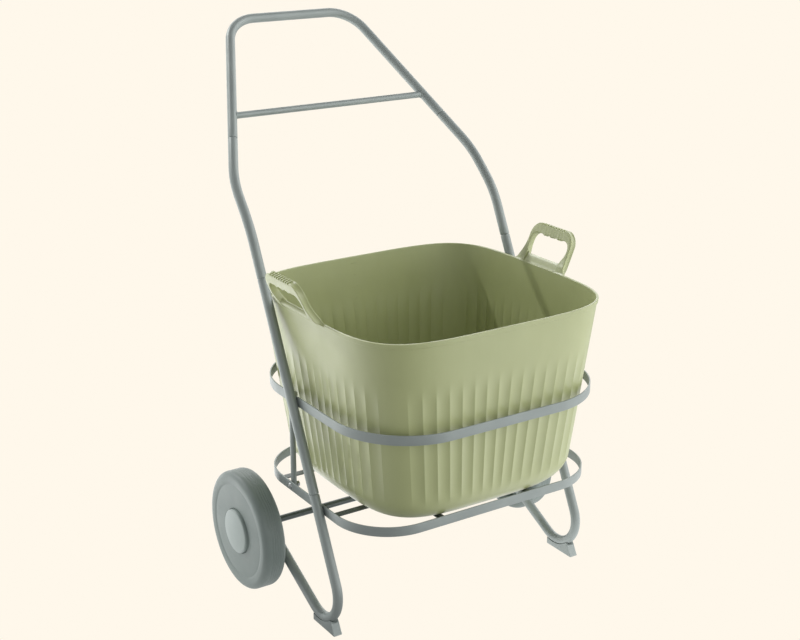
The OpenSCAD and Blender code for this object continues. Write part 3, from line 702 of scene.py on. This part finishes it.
def tub_shape():
    """The whole wall as one skin: up the outside from the floor, over the rim and down the inside."""
    steps = 12
    edge = wall_ring(TUB_Z, EDGE_R)
    rings = [floor_ring(TUB_Z, s, edge) for s in FLOOR_SHARES]
    for k in range(steps):
        a = math.radians(90 * k / steps)
        rings.append(wall_ring(TUB_Z + EDGE_R * (1 - math.cos(a)), EDGE_R * (1 - math.sin(a))))
    z = TUB_Z + EDGE_R
    while z < RIM_Z - 12:
        rings.append(wall_ring(z, 0))
        z += RING_STEP
    lip = [(10.2, 0), (9.7, 0), (9.3, 0.35), (9.0, 1.2), (8.5, LIP), (4, LIP)]
    rings += [wall_ring(RIM_Z - below, 0, out) for below, out in lip]
    for deg in (0, 30, 60, 90):
        a = math.radians(deg)
        rings.append(wall_ring(RIM_Z - RIM_R_OUT * (1 - math.sin(a)), 0, LIP - RIM_R_OUT * (1 - math.cos(a))))
    for deg in (90, 60, 30, 0):
        a = math.radians(deg)
        rings.append(wall_ring(RIM_Z - RIM_R_IN * (1 - math.sin(a)), 0, -WALL + RIM_R_IN * (1 - math.cos(a))))
    z = RIM_Z - 6
    floor = TUB_Z + WALL
    while z > floor + EDGE_R:
        rings.append(wall_ring(z, 0, -WALL))
        z -= RING_STEP
    inner_r = EDGE_R - WALL
    for k in range(steps + 1):
        a = math.radians(90 - 90 * k / steps)
        rings.append(wall_ring(floor + inner_r * (1 - math.cos(a)), WALL + inner_r * (1 - math.sin(a))))
    edge = rings[-1]
    rings += [floor_ring(floor, s, edge) for s in reversed(FLOOR_SHARES)]
    shape = Shape()
    shape.skin(rings)
    return shape


# ---------- tub handles ----------

GRIP_T = 13
GRIP_MIDDLE_Y = -146
GRIP_TOP = 80
GRIP_FOOT = 14
GRIP_SUNK = 3
GRIP_FOOT_SHARE = 0.42  # how much of its thickness the handle has left at the rim
GRIP_ROUND = 1.2
GRIP_DISH = 1.3
GRIP_SLOTS = 9
SLOT_PITCH = 8.2
SLOT_DEPTH = 4.4
SLOT_RIB_DEPTH = 0.2
HOLE_TOP = 60.4
RIDGES = (-21, 1, 22)
RIDGE_DEPTH = 2.6
RIDGE_WIDTH = 3.4
PANEL_IN = 3.6
PANEL_OUT = 5.7
# A handle's middle line in (x, z): from the rim to the finger gap, and from there to its top.
GRIP_ROOT = [Vector((271.9, 599)), Vector((280.5, 607)), Vector((286, 615))]
GRIP_BODY = [Vector((286, 615)), Vector((304, 641)), Vector((314, 677))]


def grip_place(u, t, w):
    """Along the rim, up the handle from the rim, and outwards, to the cart's millimetres."""
    if t < GRIP_FOOT:
        (a, b, c), s = GRIP_ROOT, (t + GRIP_SUNK) / (GRIP_FOOT + GRIP_SUNK)
    else:
        (a, b, c), s = GRIP_BODY, (t - GRIP_FOOT) / (GRIP_TOP - GRIP_FOOT)
    point = a * (1 - s) ** 2 + b * (2 * s * (1 - s)) + c * s ** 2
    along = ((b - a) * (1 - s) + (c - b) * s).normalized()
    w *= lerp(GRIP_FOOT_SHARE, 1, smooth((t + 2) / 10))
    return Vector((point.x + w * along.y, GRIP_MIDDLE_Y + u, point.y - w * along.x))


def hole_top(u):
    """The finger bar's underside: three small ridges between finger hollows."""
    ridge = sum(math.exp(-((u - c) / RIDGE_WIDTH) ** 2) for c in RIDGES)
    return HOLE_TOP - RIDGE_DEPTH * ridge


def grip_stations():
    """(inner point, outer point, slot depth or None) round the handle from foot to foot."""
    half = []
    for t in (-2, -1, 0, 1, 2, 3, 5, 8, 11, 14, 17, 21, 25, 30, 35, 40, 44):
        reach = 64.5 + 6.5 * max(0, 1 - t / 46) ** 1.6 + 7 * math.exp(-(t + 1) / 3)
        half.append(((lerp(-50, -57.5, smooth((t - 8) / 30)), float(t)), (-reach, float(t)), None))
    for k in range(1, 12):
        a = math.radians(180 - 90 * k / 11)
        half.append(((-41.5 + 16 * math.cos(a), 44 + 16.4 * math.sin(a)),
                     (-36.5 + 28 * math.cos(a), 52 + 28 * math.sin(a)), None))
    half[-1] = ((-41.5, hole_top(-41.5)), (-36.5, GRIP_TOP), None)
    edges = []
    slot = [(-2.4, SLOT_RIB_DEPTH), (-2.2, SLOT_DEPTH), (0, SLOT_DEPTH)]
    slot += [(2.2, SLOT_DEPTH), (2.4, SLOT_RIB_DEPTH)]
    for k in range(GRIP_SLOTS):
        middle = SLOT_PITCH * (k - (GRIP_SLOTS - 1) / 2)
        edges += [(middle + du, depth) for du, depth in slot]
    top = [((u, hole_top(u)), (u, GRIP_TOP), depth) for u, depth in edges]
    other = [((-i[0], i[1]), (-o[0], o[1]), d) for i, o, d in reversed(half)]
    return half + top + other


# Across the outer edge of the bar: (w, share of the depth there), for the dished edge and for the slots.
SMOOTH_DIP = [(-5.1, 0.05), (-3.8, 0.4), (-2.5, 0.85), (-0.9, 1),
              (0.9, 1), (2.5, 0.85), (3.8, 0.4), (5.1, 0.05)]
SLOT_DIP = [(-5, 0.62), (-4.8, 0.8), (-4.6, 1), (-1.5, 1), (1.5, 1), (4.6, 1), (4.8, 0.8), (5, 0.62)]
SLOT_EDGE_SHARE = 0.6


def panel_section(top):
    """Section of the panel under the finger gap as (t, w); its top slopes down towards the outside."""
    inside = [(t, -PANEL_IN) for t in (-3, 0, 3, 8.5, top - 2)]
    crest = [(top - 0.8, -3.3), (top, -2.2), (top, -1.0), (top - 0.5, 1.2)]
    crest += [(top - 1.4, 3.2), (top - 2.6, 4.8)]
    outside = [(top - 4.2, PANEL_OUT), (8.5, PANEL_OUT), (5, 5.6), (3, 5.2), (1, 4.6), (-3, 3.6)]
    return inside + crest + outside


def grip_shape(sx):
    """A bar round the finger gap, dished along its edge and slotted across its top, on a panel."""
    half_t = GRIP_T / 2
    turns = (0, math.pi / 6, math.pi / 3, math.pi / 2)
    rounded = [(GRIP_ROUND * (1 - math.cos(a)), GRIP_ROUND * (1 - math.sin(a))) for a in turns]
    rings = []
    for inner, outer, slot in grip_stations():
        i, o = Vector(inner), Vector(outer)
        width = (o - i).length
        out = (o - i).normalized()
        dip, depth = (SMOOTH_DIP, GRIP_DISH) if slot is None else (SLOT_DIP, slot)
        edge = width - SLOT_EDGE_SHARE * (slot or 0)
        section = [(n, w - half_t) for n, w in rounded]
        section += [(edge - n, w - half_t) for n, w in reversed(rounded)]
        section += [(width - depth * share, w) for w, share in dip]
        section += [(edge - n, half_t - w) for n, w in rounded]
        section += [(n, half_t - w) for n, w in reversed(rounded)]
        rings.append([grip_place(*(i + out * n), w) for n, w in section])
    shape = Shape()
    shape.skin(rings)
    panel = []
    for u in [k * 4.0 for k in range(-15, 16)]:
        top = GRIP_FOOT + 4 * smooth((abs(u) - 45) / 7)
        panel.append([grip_place(u, t, w) for t, w in panel_section(top)])
    shape.skin(panel)
    return shape if sx > 0 else shape.mirrored()


TICKS = 8
TICK_PITCH = 24
TOP_TICK_Z = 588
TICKS_X = -6
TICK_LEAN = 0.08907


def tick_shape():
    """Raised level marks, long and short by turns, up the inside of the tub's back wall."""
    shape = Shape()
    for k in range(TICKS):
        z = TOP_TICK_Z - TICK_PITCH * k
        half = 6.5 if k % 2 == 0 else 3.6
        wall_y = outline_point(math.pi, (z - TUB_Z) / TUB_H, WALL)[1] - FLUTE_DEPTH * flute_level(z) * 0.1
        rings = []
        for x in (-half, half):
            rings.append([Vector((TICKS_X + x, wall_y + dy + TICK_LEAN * dz, z + dz))
                          for dy, dz in ((1.5, -0.8), (-0.7, -0.45), (-0.7, 0.45), (1.5, 0.8))])
        shape.skin(rings)
    return shape


piece("tub_shell", tub_shape().join(tick_shape()), "tub", "tub_plastic", ["tub"], sharp=13)
for side, sx in SIDES.items():
    piece(f"tub_handle_{side}", grip_shape(sx), "tub", "tub_plastic", sharp=35)

# ---------- stage, light and camera ----------

CREAM = (1.0, 0.938, 0.831)
# Brightness round the cart as (turn, value), from behind it by its left side to its front.
LOW_LIGHT = [(0.0, 2.4), (0.1, 2.0), (0.18, 1.5), (0.26, 1.3), (0.36, 0.9), (0.4, 0.7), (0.5, 0.9),
             (0.61, 1.3), (0.65, 2.0), (0.75, 2.1), (0.85, 1.5), (1.0, 2.4)]
HIGH_LIGHT = [(0.0, 2.4), (0.12, 1.2), (0.25, 0.45), (0.5, 0.17), (0.75, 3.0), (0.88, 1.6), (1.0, 2.4)]
FLOOR_LIGHT = [(0.0, 0.5), (0.1, 1.8), (0.2, 2.7), (0.27, 1.6), (0.4, 0.6), (0.5, 0.25),
               (0.6, 0.6), (0.67, 1.6), (0.77, 1.5), (0.9, 0.6), (1.0, 0.5)]
OVERHEAD = 0.15
KEY_STRENGTH = 1.2
KEY_DIRECTION = (0.53, -1.02, -1.0)
KEY_ANGLE = 0.8
FRONT_TURN = math.radians(32.93 + 90)
LIGHT_GAIN = 6.0  # a colour ramp stops at 1, so it holds the brightness divided by this
# Where one light hands over to the next, as heights from straight down (-1) to straight up (1).
SIDE_HANDOVER = (0.2, 0.42)
TOP_HANDOVER = (0.6, 0.85)
FLOOR_HALF = 14.0  # in metres
FLOOR_Z = -0.0005  # in metres, just below the wheels and feet
FLOOR_CELLS = 8


def cream_for_the_camera(n, lit):
    """What is seen directly is plain cream; the object is lit by the given colour."""
    camera_ray = n.node("ShaderNodeLightPath").outputs["Is Camera Ray"]
    return n.mix(camera_ray, lit, CREAM)


def around_the_cart(n, *lights):
    """Brightness by the direction seen from the cart; the turn is 0.5 towards the camera."""
    turned = n.node("ShaderNodeMapping", {"Vector": n.coords, "Rotation": (0, 0, FRONT_TURN)}).outputs[0]
    radial = n.node("ShaderNodeTexGradient", {"Vector": turned}, gradient_type="RADIAL").outputs["Fac"]
    found = []
    for light in lights:
        scaled = n.ramp(radial, [(turn, value / LIGHT_GAIN) for turn, value in light])
        found.append(n.mix(1.0, scaled, [LIGHT_GAIN] * 3, "MULTIPLY"))
    return found[0] if len(found) == 1 else found


def make_floor():
    n = FLOOR_CELLS
    marks = [lerp(-FLOOR_HALF, FLOOR_HALF, i / n) for i in range(n + 1)]
    verts = [(x, y, FLOOR_Z) for y in marks for x in marks]
    faces = [(j * (n + 1) + i, j * (n + 1) + i + 1, (j + 1) * (n + 1) + i + 1, (j + 1) * (n + 1) + i)
             for j in range(n) for i in range(n)]
    mesh = bpy.data.meshes.new("studio_floor")
    mesh.from_pydata(verts, [], faces)
    obj = bpy.data.objects.new("studio_floor", mesh)
    bpy.context.scene.collection.objects.link(obj)
    nodes = Nodes(bpy.data.materials.new("studio_floor"))
    glow = around_the_cart(nodes, FLOOR_LIGHT)
    emission = nodes.node("ShaderNodeEmission", {"Color": cream_for_the_camera(nodes, glow)})
    nodes.tree.nodes.remove(nodes.tree.nodes["Principled BSDF"])
    nodes.put(nodes.tree.nodes["Material Output"].inputs["Surface"], emission.outputs[0])
    mesh.materials.append(nodes.owner)


def make_world():
    """A bright surround, darker straight in front of the cart."""
    world = bpy.data.worlds.new("studio")
    bpy.context.scene.world = world
    n = Nodes(world, "Generated")
    low, high = around_the_cart(n, LOW_LIGHT, HIGH_LIGHT)
    height = n.node("ShaderNodeSeparateXYZ", {"Vector": n.coords}).outputs["Z"]
    sky = n.mix(n.ramp(height, list(zip(SIDE_HANDOVER, (0.0, 1.0)))), low, high)
    sky = n.mix(n.ramp(height, list(zip(TOP_HANDOVER, (0.0, 1.0)))), sky, [OVERHEAD] * 3)
    n.put(n.tree.nodes["Background"].inputs["Color"], cream_for_the_camera(n, sky))


def sun_light(name, direction, strength, angle):
    light = bpy.data.lights.new(name, "SUN")
    light.energy = strength
    light.angle = math.radians(angle)
    obj = bpy.data.objects.new(name, light)
    bpy.context.scene.collection.objects.link(obj)
    obj.rotation_euler = Vector(direction).to_track_quat("-Z", "Y").to_euler()


make_floor()
make_world()
sun_light("key_from_behind", KEY_DIRECTION, KEY_STRENGTH, KEY_ANGLE)

# The camera stands here and looks at a point, both in metres.
CAMERA_PLACE = Vector((-1.4657, -2.298, 1.4312))
CAMERA_AIM = Vector((-0.0781, -0.1555, 0.5595))
CAMERA_LENS = 64.34
CAMERA_ROLL = math.radians(-0.095)

camera_data = bpy.data.cameras.new("camera")
camera_data.sensor_width = 36
camera_data.lens = CAMERA_LENS
camera_data.clip_end = 100
camera = bpy.data.objects.new("camera", camera_data)
bpy.context.scene.collection.objects.link(camera)
camera.location = CAMERA_PLACE
look = (CAMERA_AIM - CAMERA_PLACE).to_track_quat("-Z", "Y").to_matrix().to_4x4()
camera.rotation_euler = (look @ Matrix.Rotation(CAMERA_ROLL, 4, "Z")).to_euler()
bpy.context.scene.camera = camera
bpy.context.scene.view_settings.view_transform = "Standard"
